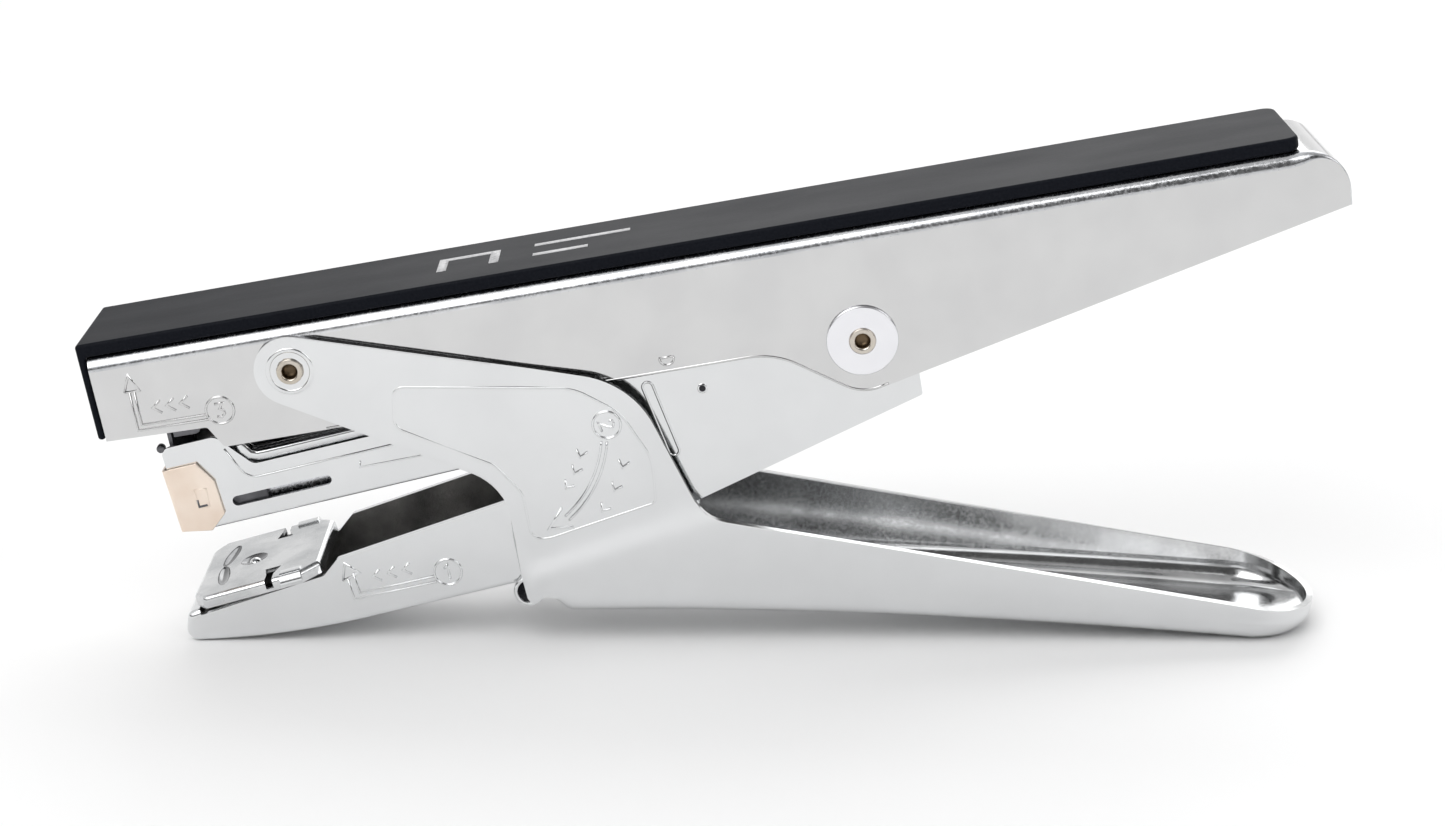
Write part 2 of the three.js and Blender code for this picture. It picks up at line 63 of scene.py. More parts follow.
SIDES = ((NEAR, "near"), (FAR, "far"))

# ---------------- frames

JOINTS = {joint["name"]: joint for joint in frame["joints"]}
MOUNTS = {mount["name"]: mount for mount in frame["record"]["mounts"]}
FRONT_PIVOT = Vector(JOINTS["handle_squeeze"]["pos_m"])
REAR_PIVOT = Vector(JOINTS["arm_press"]["pos_m"])
CAP_NORMAL = Vector(MOUNTS["cap_face"]["axis"])
ANVIL_NORMAL = Vector(MOUNTS["anvil_face"]["axis"])
SLIDE = Vector(JOINTS["pusher_slide"]["axis"])
ANVIL_FACE_FROM_FRONT = 15.5


def placed(origin, tilt):
    """A frame at origin, with its X axis raised by tilt radians."""
    return Matrix.Translation(origin) @ Matrix.Rotation(-tilt, 4, "Y")


anvil_tilt = atan2(-ANVIL_NORMAL.x, ANVIL_NORMAL.z)
anvil_run = Vector((cos(anvil_tilt), 0, sin(anvil_tilt)))
anvil_front = Vector(MOUNTS["anvil_face"]["pos_m"]) - anvil_run * ANVIL_FACE_FROM_FRONT * MM

LEVER = placed(FRONT_PIVOT, atan2(-CAP_NORMAL.x, CAP_NORMAL.z))
HANDLE = placed(FRONT_PIVOT, 0)
ARM = placed(REAR_PIVOT, 0)
MAGAZINE = placed(REAR_PIVOT, atan2(SLIDE.z, SLIDE.x))
ANVIL = placed(anvil_front, anvil_tilt)

FRAMES = {"top_lever": LEVER, "handle": HANDLE, "arm": ARM, "magazine": MAGAZINE}

REAR_ON_LEVER = (LEVER.inverted() @ REAR_PIVOT) / MM

# ---------------- dimensions
# The half widths are measured from the middle of the part to a wall's outside.

SHEET = 0.9
THIN_SHEET = 0.6
LEVER_HALF = 10.7
COVER_HALF = 9.8
EAR_HALF = 11.9
ARM_HALF = 9.6
MAGAZINE_HALF = 7.5
CLIP_HALF = 8.1

# ---------------- materials


def shader(name, metallic, roughness, color):
    """A material with its node tree, its Principled shader and the object's own coordinates."""
    made = bpy.data.materials.new(name)
    made.use_nodes = True
    tree = made.node_tree
    principled = tree.nodes["Principled BSDF"]
    principled.inputs["Metallic"].default_value = metallic
    principled.inputs["Roughness"].default_value = roughness
    principled.inputs["Base Color"].default_value = (*color, 1)
    coordinates = tree.nodes.new("ShaderNodeTexCoord").outputs["Object"]
    return made, tree, principled, coordinates


def noise(tree, coordinates, size, stretch=(1, 1, 1), detail=3):
    """Noise with features about size millimetres across."""
    mapping = tree.nodes.new("ShaderNodeMapping")
    mapping.inputs["Scale"].default_value = stretch
    tree.links.new(coordinates, mapping.inputs["Vector"])
    texture = tree.nodes.new("ShaderNodeTexNoise")
    texture.inputs["Scale"].default_value = 1 / (size * MM)
    texture.inputs["Detail"].default_value = detail
    texture.inputs["Roughness"].default_value = 0.55
    tree.links.new(mapping.outputs["Vector"], texture.inputs["Vector"])
    return texture.outputs["Fac"]


def ramp(tree, factor, stops):
    """A colour or grey value ramp through (position, value) stops."""
    node = tree.nodes.new("ShaderNodeValToRGB")
    elements = node.color_ramp.elements
    while len(elements) < len(stops):
        elements.new(0.5)
    for element, (position, value) in zip(elements, stops):
        element.position = position
        element.color = (*value, 1) if hasattr(value, "__len__") else (value, value, value, 1)
    tree.links.new(factor, node.inputs["Fac"])
    return node.outputs["Color"]


def bump(tree, principled, layers):
    """Stacked bumps, each a (height, strength, depth in millimetres)."""
    normal = None
    for height, strength, depth in layers:
        node = tree.nodes.new("ShaderNodeBump")
        node.inputs["Strength"].default_value = strength
        node.inputs["Distance"].default_value = depth * MM
        tree.links.new(height, node.inputs["Height"])
        if normal:
            tree.links.new(normal, node.inputs["Normal"])
        normal = node.outputs["Normal"]
    tree.links.new(normal, principled.inputs["Normal"])


CLOUD_SIZE, WAVE_SIZE = 9, 14


def metal(name, dark, light, smooth, rough, grain=0.02, wave=0.03, stretch=(1, 1, 1), grain_size=0.5):
    """Plated sheet or wire: a cloudy colour from dark to light, an uneven polish from smooth to rough, and
    bumps for a slow wave and a fine grain, in millimetres."""
    made, tree, principled, coordinates = shader(name, 1, rough, light)
    cloud = noise(tree, coordinates, CLOUD_SIZE)
    speck = noise(tree, coordinates, grain_size, stretch, detail=4)
    slow = noise(tree, coordinates, WAVE_SIZE, detail=1)
    tree.links.new(ramp(tree, cloud, [(0.35, dark), (0.65, light)]), principled.inputs["Base Color"])
    tree.links.new(ramp(tree, speck, [(0.35, smooth), (0.7, rough)]), principled.inputs["Roughness"])
    bump(tree, principled, [(slow, 0.5, wave), (speck, 0.5, grain)])
    return made


def plastic():
    """Satin moulded plastic with a fine spark-eroded grain and faint handling marks."""
    made, tree, principled, coordinates = shader("moulded_plastic", 0, 0.4, (0.016, 0.017, 0.02))
    grain = noise(tree, coordinates, 0.35, detail=5)
    rub = noise(tree, coordinates, 7, (0.35, 1, 1))
    tree.links.new(ramp(tree, rub, [(0.3, 0.36), (0.7, 0.42)]), principled.inputs["Roughness"])
    shades = [(0.3, (0.004, 0.005, 0.008)), (0.75, (0.01, 0.011, 0.015))]
    tree.links.new(ramp(tree, grain, shades), principled.inputs["Base Color"])
    principled.inputs["Specular IOR Level"].default_value = 0.045
    bump(tree, principled, [(grain, 0.35, 0.03)])
    return made


def ink():
    """Pale printing ink, slightly worn."""
    made, tree, principled, coordinates = shader("pale_ink", 0, 0.5, (0.55, 0.55, 0.56))
    wear = noise(tree, coordinates, 0.6)
    shades = [(0.3, (0.4, 0.4, 0.41)), (0.5, (0.6, 0.6, 0.61))]
    tree.links.new(ramp(tree, wear, shades), principled.inputs["Base Color"])
    bump(tree, principled, [(wear, 0.2, 0.01)])
    return made


PRESSED = {"smooth": 0.07, "rough": 0.13, "grain": 0.003}
CHROME = metal("chrome_sheet", (0.71, 0.718, 0.725), (0.735, 0.743, 0.75), wave=0.015, **PRESSED)
LEVER_CHROME = metal("lever_chrome", (0.61, 0.61, 0.612), (0.645, 0.645, 0.645), wave=0.012, **PRESSED)
# A darker copy of the chrome for the trough's inside and its rim edges: painted shade.
TROUGH_SHADE = metal("trough_painted_shade", (0.55, 0.555, 0.56), (0.72, 0.725, 0.73), 0.12, 0.22, grain=0.005)
CHROME_BEND = metal("chrome_bend", (0.5, 0.51, 0.53), (0.72, 0.725, 0.74), 0.12, 0.32, grain=0.03)
# A darker copy of the chrome for the channels' inner faces: painted shade.
CHROME_SHADE_INSIDE = metal("chrome_painted_shade", (0.36, 0.365, 0.37), (0.48, 0.485, 0.49), 0.16, 0.26, grain=0.005)
# The arm's inside: a darker, duller copy of the sheet, painted shade for the channel's dark inside.
INSIDE_DULL = {"smooth": 0.32, "rough": 0.6, "grain": 0.1, "grain_size": 0.35}
ARM_INSIDE_SHADE = metal("arm_inside_painted_shade", (0.2, 0.198, 0.197), (0.48, 0.47, 0.46), **INSIDE_DULL)
# Near black, painted shade: the gap under the lever over the handle's cheeks, the hole behind each tab and the
# tops of the arm's pips.
SHADE_PAINT = metal("painted_shade_black", (0.012, 0.012, 0.014), (0.06, 0.06, 0.065), 0.2, 0.4, grain=0.02)
ZINC = metal("zinc_plate", (0.62, 0.63, 0.66), (0.76, 0.765, 0.79), 0.16, 0.34, grain=0.02)
# Dark steel, painted shade for the anvil's grooves, slots and dimple.
RECESS_SHADE = metal("recess_painted_shade", (0.1, 0.1, 0.105), (0.34, 0.345, 0.35), 0.08, 0.2, grain=0.02)
ANVIL_STEEL = metal("anvil_plate_steel", (0.5, 0.51, 0.52), (0.74, 0.745, 0.75), 0.12, 0.3, grain=0.03)
WASHER_STEEL = metal("washer_plate", (0.8, 0.8, 0.83), (0.86, 0.86, 0.885), 0.14, 0.22, grain=0.004)
CHAMPAGNE = metal("champagne_plate", (0.8, 0.66, 0.55), (0.9, 0.785, 0.685), 0.3, 0.42, grain=0.015)
SPRING = metal("spring_wire", (0.2, 0.2, 0.21), (0.42, 0.42, 0.44), 0.22, 0.4, stretch=(0.2, 1, 1))
DARK_STEEL = metal("hard_steel", (0.06, 0.06, 0.066), (0.17, 0.17, 0.18), 0.3, 0.5, stretch=(1, 0.15, 1))
NICKEL = metal("nickel_rivet", (0.5, 0.45, 0.38), (0.75, 0.71, 0.66), 0.14, 0.3, grain=0.02)
# Dark brown, painted shade inside the rivets' bores.
BORE_SHADE = metal("bore_painted_shade", (0.09, 0.065, 0.04), (0.22, 0.16, 0.1), 0.3, 0.5, grain=0.05)
PLASTIC = plastic()
INK = ink()

# ---------------- mesh helpers


def fillet(before, here, after, radius, steps):
    """Points round one corner."""
    back = (before - here).normalized()
    ahead = (after - here).normalized()
    half = acos(max(-1, min(1, back.dot(ahead)))) / 2
    centre = here + (back + ahead).normalized() * radius / sin(half)
    start = here + back * radius / tan(half) - centre
    end = here + ahead * radius / tan(half) - centre
    sweep = pi - 2 * half
    shares = [k / steps for k in range(steps + 1)]
    return [centre + (start * sin((1 - t) * sweep) + end * sin(t * sweep)) / sin(sweep) for t in shares]


def rounded(corners, closed=True, steps=8):
    """A line through corners given as (x, z) or (x, z, fillet radius)."""
    points = []
    last = len(corners) - 1
    for i, (x, z, *radius) in enumerate(corners):
        here = Vector((x, z))
        if not radius or (not closed and i in (0, last)):
            points.append(here)
            continue
        before = Vector(corners[i - 1][:2])
        after = Vector(corners[(i + 1) % len(corners)][:2])
        points += fillet(before, here, after, radius[0], steps)
    return points


def arc(cx, cz, radius, start, end, steps=16):
    """Points on an arc, its angles in degrees."""
    angles = [radians(start + (end - start) * k / steps) for k in range(steps + 1)]
    return [Vector((cx + radius * cos(a), cz + radius * sin(a))) for a in angles]


def circle(cx, cz, radius):
    """The corners of a closed ring."""
    return arc(cx, cz, radius, 0, 360, 48)[:-1]


def quarter(step):
    """The angles of a quarter turn, every step degrees."""
    return [radians(a) for a in range(0, 91, step)]


def height_at(points, x):
    """The height at x of a line of (x, z) points that runs towards larger x."""
    for a, b in zip(points, points[1:]):
        if a.x <= x <= b.x and b.x > a.x:
            return a.y + (b.y - a.y) * (x - a.x) / (b.x - a.x)
    return points[0].y if x < points[0].x else points[-1].y


def smoothstep(x, low, high):
    """Eases from 0 at low to 1 at high."""
    t = max(0, min(1, (x - low) / (high - low)))
    return t * t * (3 - 2 * t)


def mesh_piece(name, vertices, faces, where, materials, merge=0.002):
    """An object from points in millimetres in the frame where. A face may end with a material index."""
    data = bpy.data.meshes.new(name)
    built = bmesh.new()
    corners = [built.verts.new(Vector(v) * MM) for v in vertices]
    for face, index in faces:
        made = built.faces.new([corners[i] for i in face])
        made.material_index = index
        made.smooth = True
    bmesh.ops.remove_doubles(built, verts=built.verts, dist=merge * MM)
    bmesh.ops.dissolve_degenerate(built, edges=built.edges, dist=merge * MM)
    bmesh.ops.recalc_face_normals(built, faces=built.faces)
    built.to_mesh(data)
    built.free()
    for material in materials:
        data.materials.append(material)
    made = bpy.data.objects.new(name, data)
    bpy.context.scene.collection.objects.link(made)
    made.matrix_world = where
    return made


def face_out(piece, direction):
    """Turns the faces over if the one that lies furthest along direction doesn't face that way."""
    direction = Vector(direction)
    furthest = max(piece.data.polygons, key=lambda face: (face.center.dot(direction), face.area))
    if furthest.normal.dot(direction) < 0:
        piece.data.flip_normals()
    return piece


def applied(piece):
    """Turns a piece's modifiers into mesh."""
    graph = bpy.context.evaluated_depsgraph_get()
    data = bpy.data.meshes.new_from_object(piece.evaluated_get(graph))
    piece.modifiers.clear()
    piece.data = data
    return piece


def thicken(piece, thickness, inner=0):
    """Gives a surface its sheet thickness, inwards. The inside's material is inner slots further on."""
    solidify = piece.modifiers.new("thickness", "SOLIDIFY")
    solidify.thickness = thickness * MM
    solidify.offset = -1
    solidify.material_offset = inner
    return applied(piece)


def cut(piece, *cutters):
    """Cuts other solids out of a piece."""
    for cutter in cutters:
        boolean = piece.modifiers.new("cut", "BOOLEAN")
        boolean.operation = "DIFFERENCE"
        boolean.solver = "EXACT"
        boolean.object = cutter
    applied(piece)
    for cutter in cutters:
        bpy.data.objects.remove(cutter)
    return piece


def soften(piece, width, segments=2, angle=32):
    """Rounds the sharp edges and keeps the flats flat."""
    edges = piece.modifiers.new("edges", "BEVEL")
    edges.width = width * MM
    edges.segments = segments
    edges.limit_method = "ANGLE"
    edges.angle_limit = radians(angle)
    edges.miter_outer = "MITER_ARC"
    flats = piece.modifiers.new("flats", "WEIGHTED_NORMAL")
    flats.keep_sharp = True
    return piece


def finished(piece, body, replaces=()):
    """Makes a piece ride on its body and stand for its CAD nodes."""
    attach(piece, body)
    if replaces:
        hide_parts(*replaces)
    return piece


def bands(rows, count):
    """The faces between neighbouring rows, each a closed ring of count points."""
    faces = []
    for row in range(rows - 1):
        for k in range(count):
            a, b = row * count + k, row * count + (k + 1) % count
            faces.append(([a, b, b + count, a + count], 0))
    return faces


def between(name, first, second, where, materials):
    """A solid between two outlines that have the same number of points."""
    count = len(first)
    faces = bands(2, count)
    faces += [(list(range(count)), 0), (list(range(2 * count - 1, count - 1, -1)), 0)]
    return mesh_piece(name, first + second, faces, where, materials)


def prism(name, points, y0, y1, where, materials):
    """A side outline spread across the width."""
    first, second = ([(p.x, y, p.y) for p in points] for y in (y0, y1))
    return between(name, first, second, where, materials)


def slab(name, points, z0, z1, where, materials):
    """A plan outline given as (x, y), raised from z0 to z1."""
    first, second = ([(p.x, p.y, z) for p in points] for z in (z0, z1))
    return between(name, first, second, where, materials)


CLEAR = 20
PIN_RADIUS = 1.85


def pin_cutter(x, z, where):
    """A round bar right across the width, to cut a rivet's hole."""
    return prism("pin_cutter", circle(x, z, PIN_RADIUS), -CLEAR, CLEAR, where, [])


def normals_of(points, closed=False):
    """Mitred unit normals to the left of a line."""
    count = len(points)
    result = []
    for i, here in enumerate(points):
        before = points[i - 1] if closed or i else here
        after = points[(i + 1) % count] if closed or i + 1 < count else here
        tangents = [t.normalized() for t in (here - before, after - here) if t.length > 1e-9]
        across = [Vector((-t.y, t.x)) for t in tangents]
        mean = sum(across, Vector((0, 0))).normalized()
        result.append(mean / max(0.4, mean.dot(across[0])))
    return result


def folded(name, fold, free, half, radius, where, materials, arc_steps=6):
    """A channel: its web follows the fold line, and turns into two flat walls that end at the free edge.
    The line through fold and free goes round the wall. Bends take the second material. The bend's radius is
    a number, or a function of a point on the fold."""
    area = sum(a.cross(b) for a, b in zip(fold + free, (fold + free)[1:] + fold[:1]))
    outward = [n * (-1 if area > 0 else 1) for n in normals_of(fold)]
    columns = 2 * (arc_steps + 1)
    vertices = []
    for p, n in zip(fold, outward):
        bend = radius(p) if callable(radius) else radius
        angles = [pi / 2 * (1 - k / arc_steps) for k in range(arc_steps + 1)]
        across = [(bend - half - bend * sin(angle), bend * (1 - cos(angle))) for angle in angles]
        across += [(-y, inset) for y, inset in reversed(across)]
        vertices += [(p.x - n.x * inset, y, p.y - n.y * inset) for y, inset in across]
    faces = []
    for row in range(len(fold) - 1):
        for column in range(columns - 1):
            a = row * columns + column
            index = 0 if column == arc_steps else 1
            faces.append(([a, a + 1, a + 1 + columns, a + columns], index))
    for side, column in ((NEAR, 0), (FAR, columns - 1)):
        start = len(vertices)
        vertices += [(p.x, side * half, p.y) for p in free]
        border = [row * columns + column for row in range(len(fold))]
        border += list(range(start, start + len(free)))
        faces.append((border, 0))
    piece = mesh_piece(name, vertices, faces, where, materials)
    return face_out(piece, (0, NEAR, 0))


AXIS = 0.001


def lathe(name, profile, centre, side, where, materials, steps=48, split=None):
    """A ring or a button: (radius, height) points turned round Y, with height outwards from the side. From
    the profile's point number split on, it takes the second material."""
    vertices, faces = [], []
    count = len(profile)
    for step in range(steps):
        angle = 2 * pi * step / steps
        for radius, height in profile:
            x, z = centre[0] + radius * cos(angle), centre[1] + radius * sin(angle)
            vertices.append((x, side * height, z))
    for step in range(steps):
        for i in range(count - 1):
            a, b = step * count + i, ((step + 1) % steps) * count + i
            index = 0 if split is None or i < split else 1
            faces.append(([a, a + 1, b + 1, b], index))
    return mesh_piece(name, vertices, faces, where, materials)


def tube(name, path, radius, where, materials, sides=12):
    """Round wire along a line of 3-D points, with flat ends."""
    path = [Vector(p) for p in path]
    count = len(path)
    vertices = []
    across = None
    for i, here in enumerate(path):
        before = path[i - 1] if i else here
        after = path[i + 1] if i + 1 < count else here
        tangent = (after - before).normalized()
        if across is None:
            across = tangent.orthogonal().normalized()
        across = (across - tangent * across.dot(tangent)).normalized()
        up = tangent.cross(across)
        for k in range(sides):
            angle = 2 * pi * k / sides
            vertices.append(here + (across * cos(angle) + up * sin(angle)) * radius)
    ends = [(list(range(sides)), 0), (list(range((count - 1) * sides, count * sides)), 0)]
    return mesh_piece(name, vertices, bands(count, sides) + ends, where, materials)


def embossed(name, lines, surface, body, finish=CHROME, width=0.38, height=0.3, side=NEAR):
    """Low round beads on a body's wall, along lines given as (points, closed, share of width and height).
    The wall's half width is surface, a number or a function of (x, z), and the beads' feet sink into it."""
    vertices, faces = [], []
    arch, sunk = 6, 0.05
    for points, closed, share in lines:
        normals = normals_of(points, closed)
        base = len(vertices)
        for p, n in zip(points, normals):
            for k in range(arch + 1):
                angle = pi * k / arch
                q = p + n * cos(angle) * share * width / 2
                rise = height * share * sin(angle) - sunk
                wall = surface(p.x, p.y) if callable(surface) else surface
                vertices.append((q.x, side * (wall + rise), q.y))
        rows = len(points)
        for i in range(rows if closed else rows - 1):
            for k in range(arch):
                a, b = base + i * (arch + 1) + k, base + (i + 1) % rows * (arch + 1) + k
                faces.append(([a, a + 1, b + 1, b], 0))
        if not closed:
            for i in (0, rows - 1):
                faces.append(([base + i * (arch + 1) + k for k in range(arch + 1)], 0))
    beads = mesh_piece(name, vertices, faces, FRAMES[body], [finish], merge=0.0005)
    finished(face_out(beads, (0, side, 0)), body)


def line(*points, share=1):
    """An open line of straight stretches, for embossed()."""
    return [Vector(p) for p in points], False, share


def ring(cx, cz, radius):
    """A circle, for embossed()."""
    return circle(cx, cz, radius), True, 1


DIGITS = {
    1: ((-0.35, 0.55), (0.1, 0.95), (0.1, -0.95)),
    2: ((-0.5, 0.5), (-0.3, 0.85), (0.1, 0.95), (0.5, 0.65), (0.4, 0.2), (-0.55, -0.9), (0.6, -0.9)),
    3: ((-0.5, 0.9), (0.5, 0.9), (0, 0.2), (0.45, 0), (0.5, -0.5), (0.1, -0.9), (-0.5, -0.75)),
}


def digit(number, cx, cz, size, turn=0):
    """A numeral's stroke about a centre, turned by some degrees."""
    c, s = cos(radians(turn)) * size, sin(radians(turn)) * size
    return line(*((cx + x * c - z * s, cz + x * s + z * c) for x, z in DIGITS[number]))


def chevron(x, z, size, heading):
    """A small arrowhead that points along heading, in degrees."""
    spread = 38
    tips = [radians(heading + 180 - spread), radians(heading + 180 + spread)]
    ends = [(x + size * cos(a), z + size * sin(a)) for a in tips]
    return line(ends[0], (x, z), ends[1], share=0.95)


# ---------------- top lever


WEB_TOP = 6.2
FADE_START, FADE_END = 142.4, 150
SHOULDER, LEAST_SHOULDER = 1.9, 0.2


def shoulder_radius(point):
    """The lever's shoulder bend, which fades out where the rear end curls down."""
    return SHOULDER + (LEAST_SHOULDER - SHOULDER) * smoothstep(point.x, FADE_START, FADE_END)


def lever_channel():
    """The lever's pressing: a channel whose web is on top and curls down at the rear."""
    curl = (150.5, -2.3)
    fading = [(FADE_START + 0.4 * k, WEB_TOP) for k in range(6)]
    fold = rounded([(-28.3, WEB_TOP), *fading, (150.9, WEB_TOP, 6), curl], closed=False, steps=14)
    free = rounded(
        [curl, (79.1, -18, 6), (67.6, -9.8, 12), (-11.9, -9.8, 0.6), (-13.7, -6.5, 0.6), (-28.3, -6.1)],
        closed=False,
    )[1:]
    # The inner faces take painted shade, a darker copy of the chrome.
    finishes = [LEVER_CHROME, CHROME_BEND, CHROME_SHADE_INSIDE, CHROME_SHADE_INSIDE]
    channel = folded("lever_channel", fold, free, LEVER_HALF, shoulder_radius, LEVER, finishes, 8)
    cut(thicken(channel, SHEET, inner=2), pin_cutter(REAR_ON_LEVER.x, REAR_ON_LEVER.z, LEVER))
    finished(soften(channel, 0.14), "top_lever", ["top_channel"])


def lever_step_mark():
    """The step's number in a ring, with a two-line arrow round three chevrons."""
    cx, cz = -11.3, -4.3
    marks = [ring(cx, cz, 2), digit(3, cx, cz, 1.15)]
    marks += [line((-12.9, -5.35), (-23.4, -5.25), (-23.3, 0.6))]
    marks += [line((-13.2, -4.6), (-22.7, -4.5), (-22.6, 0.6))]
    marks += [line((-24, 0.6), (-22.95, 3), (-21.9, 0.6), (-24, 0.6))]
    marks += [chevron(x, -2.3, 1.5, 180) for x in (-20.6, -18.6, -16.6)]
    embossed("lever_step_mark", marks, LEVER_HALF, "top_lever", LEVER_CHROME)


def top_lever():
    """The pressing with its step mark, lanced lugs and the raised edge under its rear half."""
    lever_channel()
    lever_step_mark()
    slit = -7.6
    lance = [(arc(52.6, slit - 0.1, 1.05, 180, 360, 12), False, 1), line((51.5, slit), (53.7, slit))]
    edge = rounded([(83, -16.9), (79.1, -17.75, 6), (67.6, -9.6, 12), (3, -9.6)], closed=False)
    beads = (("lever_lance", lance, 0.36, 0.24), ("lever_edge", [(edge, False, 1)], 0.4, 0.15))
    for side, label in SIDES:
        for name, lines, width, height in beads:
            embossed(f"{name}_{label}", lines, LEVER_HALF, "top_lever", LEVER_CHROME, width, height, side)


COVER_TOP = 8.3


def printed(name, outline):
    """A thin layer of ink on the cap's top."""
    ink_half = 0.02
    points = [Vector(p) for p in outline]
    layer = slab(name, points, COVER_TOP - ink_half, COVER_TOP + ink_half, LEVER, [INK])
    finished(layer, "top_lever")


def top_cover():
    """The cap, which also closes the lever's front, with a picture of a staple and two bars on it."""
    front, rear, under, lip = -29.7, 144.5, WEB_TOP + 0.1, -6.1
    inside = front + 1.1
    outline = [Vector(p) for p in ((front, COVER_TOP), (rear, COVER_TOP), (rear, under), (inside, under))]
    outline += [Vector(p) for p in ((inside, lip), (front, lip))]
    cover = prism("cap_moulding", outline, -COVER_HALF, COVER_HALF, LEVER, [PLASTIC])
    built = bmesh.new()
    built.from_mesh(cover.data)
    ends = [edge for edge in built.edges if all(v.co.x > (rear - 0.1) * MM for v in edge.verts)]
    corners = [edge for edge in ends if abs(edge.verts[0].co.y - edge.verts[1].co.y) < MM]
    bmesh.ops.bevel(built, geom=corners, offset=2 * MM, segments=7, profile=0.5, affect="EDGES")
    built.to_mesh(cover.data)
    built.free()
    soften(cover, 0.5, segments=5, angle=50)
    finished(cover, "top_lever", ["top_cover"])

    left, right, leg, stroke, reach = 22, 31, 1.4, 1.3, 3.2
    crown = reach - stroke
    hoop = ((left + leg, crown), (left + leg, -reach), (left, -reach), (left, reach))
    hoop += ((right, reach), (right, -reach), (right - leg, -reach), (right - leg, crown))
    printed("cap_pictogram", hoop)
    bars = ((36, 50, reach, crown), (36, 44, -crown, -reach))
    for number, (x0, x1, high, low) in enumerate(bars, 1):
        printed(f"cap_bar_{number}", ((x0, high), (x1, high), (x1, low), (x0, low)))


def tubular_rivet(name, half, centre, node):
    """A tube rivet with a rolled rim at each end and a dull bore painted dark as its shade."""
    bore, outer, roll, lip = 1.05, 1.75, 0.36, 0.35
    profile = [(outer - 0.1, half - 2.2), (outer + 0.02, half - roll - 0.05)]
    profile += [(outer + roll * 0.3 * cos(a), half - roll + roll * sin(a)) for a in quarter(15)]
    profile += [(bore + lip - lip * sin(a), half - lip + lip * cos(a)) for a in quarter(15)]
    rim_points = len(profile)
    profile += [(bore, half - 0.7), (bore * 0.94, half - 1.3), (0.35, half - 1.45), (AXIS, half - 1.4)]
    finishes = [NICKEL, BORE_SHADE]
    for side, label in SIDES:
        end = lathe(f"{name}_{label}", profile, centre, side, LEVER, finishes, split=rim_points)
        finished(end, "top_lever", [node])


def rivets_and_washers():
    """Both tubular rivets, and the rear one's washers."""
    rear = (REAR_ON_LEVER.x, REAR_ON_LEVER.z)
    tubular_rivet("front_rivet_end", EAR_HALF + 0.5, (0, 0), "front_rivet")
    tubular_rivet("rear_rivet_end", LEVER_HALF + 0.8, rear, "rear_rivet")
    low, high, bore, rim = LEVER_HALF + 0.1, LEVER_HALF + 0.55, 1.8, 5.1
    profile = [(bore, low), (bore, high - 0.1), (bore + 0.15, high), (rim - 0.25, high)]
    profile += [(rim - 0.07, high - 0.07), (rim, high - 0.2), (rim, low), (bore, low)]
    for side, node in ((NEAR, "rear_washer_right"), (FAR, "rear_washer_left")):
        disc = lathe(f"{node}_disc", profile, rear, side, LEVER, [WASHER_STEEL], steps=72)
        soften(disc, 0.04)
        finished(disc, "top_lever", [node])


def torsion_spring():
    """The spring on the rear rivet: a coil with a leg to the arm and a leg to the lever's web."""
    radius, half, wire = 3.6, 3.6, 0.5
    turns, steps = 6, 240
    arm_leg, web_leg = 37.1, 13.6
    arm_angle, web_angle = radians(130.8), radians(170) - 2 * pi * turns
    points = []
    for k in range(-1, steps + 2):
        along = max(0, min(1, k / steps))
        angle = arm_angle + (web_angle - arm_angle) * along
        reach = -arm_leg if k < 0 else web_leg if k > steps else 0
        x = REAR_ON_LEVER.x + radius * cos(angle) + reach * sin(angle)
        z = REAR_ON_LEVER.z + radius * sin(angle) - reach * cos(angle)
        points.append((x, half * (2 * along - 1), z))
    coil = tube("torsion_coil", points, wire, LEVER, [SPRING])
    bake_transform(coil)
    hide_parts("arm_return_spring")


def leaf_spring():
    """The leaf under the web that keeps the magazine down."""
    fixed, half_width, half_thickness, steps = 4.6, 4, 0.28, 24
    controls = [Vector(p) for p in ((38, fixed), (28.1, fixed), (20.1, -6.8), (6.1, -11.8))]
    middle = [Vector((52, fixed))]
    for k in range(steps + 1):
        t = k / steps
        weights = ((1 - t) ** 3, 3 * t * (1 - t) ** 2, 3 * t * t * (1 - t), t**3)
        middle.append(sum((weight * point for weight, point in zip(weights, controls)), Vector((0, 0))))
    middle.append(Vector((3.3, -11.15)))
    offsets = [n * half_thickness for n in normals_of(middle)]
    outline = [p + offset for p, offset in zip(middle, offsets)]
    outline += [p - offset for p, offset in zip(reversed(middle), reversed(offsets))]
    leaf = prism("leaf_spring", outline, -half_width, half_width, LEVER, [SPRING])
    soften(leaf, 0.1)
    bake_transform(leaf)
    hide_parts("magazine_leaf_spring")


# ---------------- lower handle

EAR_RADIUS = 5.1
HANDLE_TIP = 149.3
SPOON = 10.5
SPOON_START = HANDLE_TIP - SPOON
WEB_FRONT = 37.6
FLOOR, TAIL = -37.6, -42.45
RIM_START, RIM_SLOPE = (58.25, -22.1), -0.179
GRIP_HALF, FOOT_HALF = 12.4, 11
JOGGLE_FOOT, JOGGLE_HEAD = Vector((31, -31.2)), Vector((57.7, -21.6))
JOGGLE, JOGGLE_BLUR = 0.45, 1.6


def rim_height(x):
    """The height of the trough's straight rim."""
    return RIM_START[1] + (x - RIM_START[0]) * RIM_SLOPE


def handle_lines():
    """The cheeks' top line and throat line, each towards larger x."""
    beyond = HANDLE_TIP + 9
    corners = [(0.7, 5.05), (48.2, -1.7, 13), (*RIM_START, 7), (beyond, rim_height(beyond))]
    top = arc(0, 0, EAR_RADIUS, 180, 84, 18) + rounded(corners, closed=False, steps=14)
    notch = arc(35.8, -36.5, 2.05, 170, 28, 12)
    corners = [(-1.9, -4.73), (30, -17.3, 9), (31.9, -30.9, 3), (33.1, -36, 0.4), (33.6, -36)]
    throat = arc(0, 0, EAR_RADIUS, 180, 248, 12) + rounded(corners, closed=False, steps=14)
    return top, throat + notch + [Vector((WEB_FRONT, -35.5))]


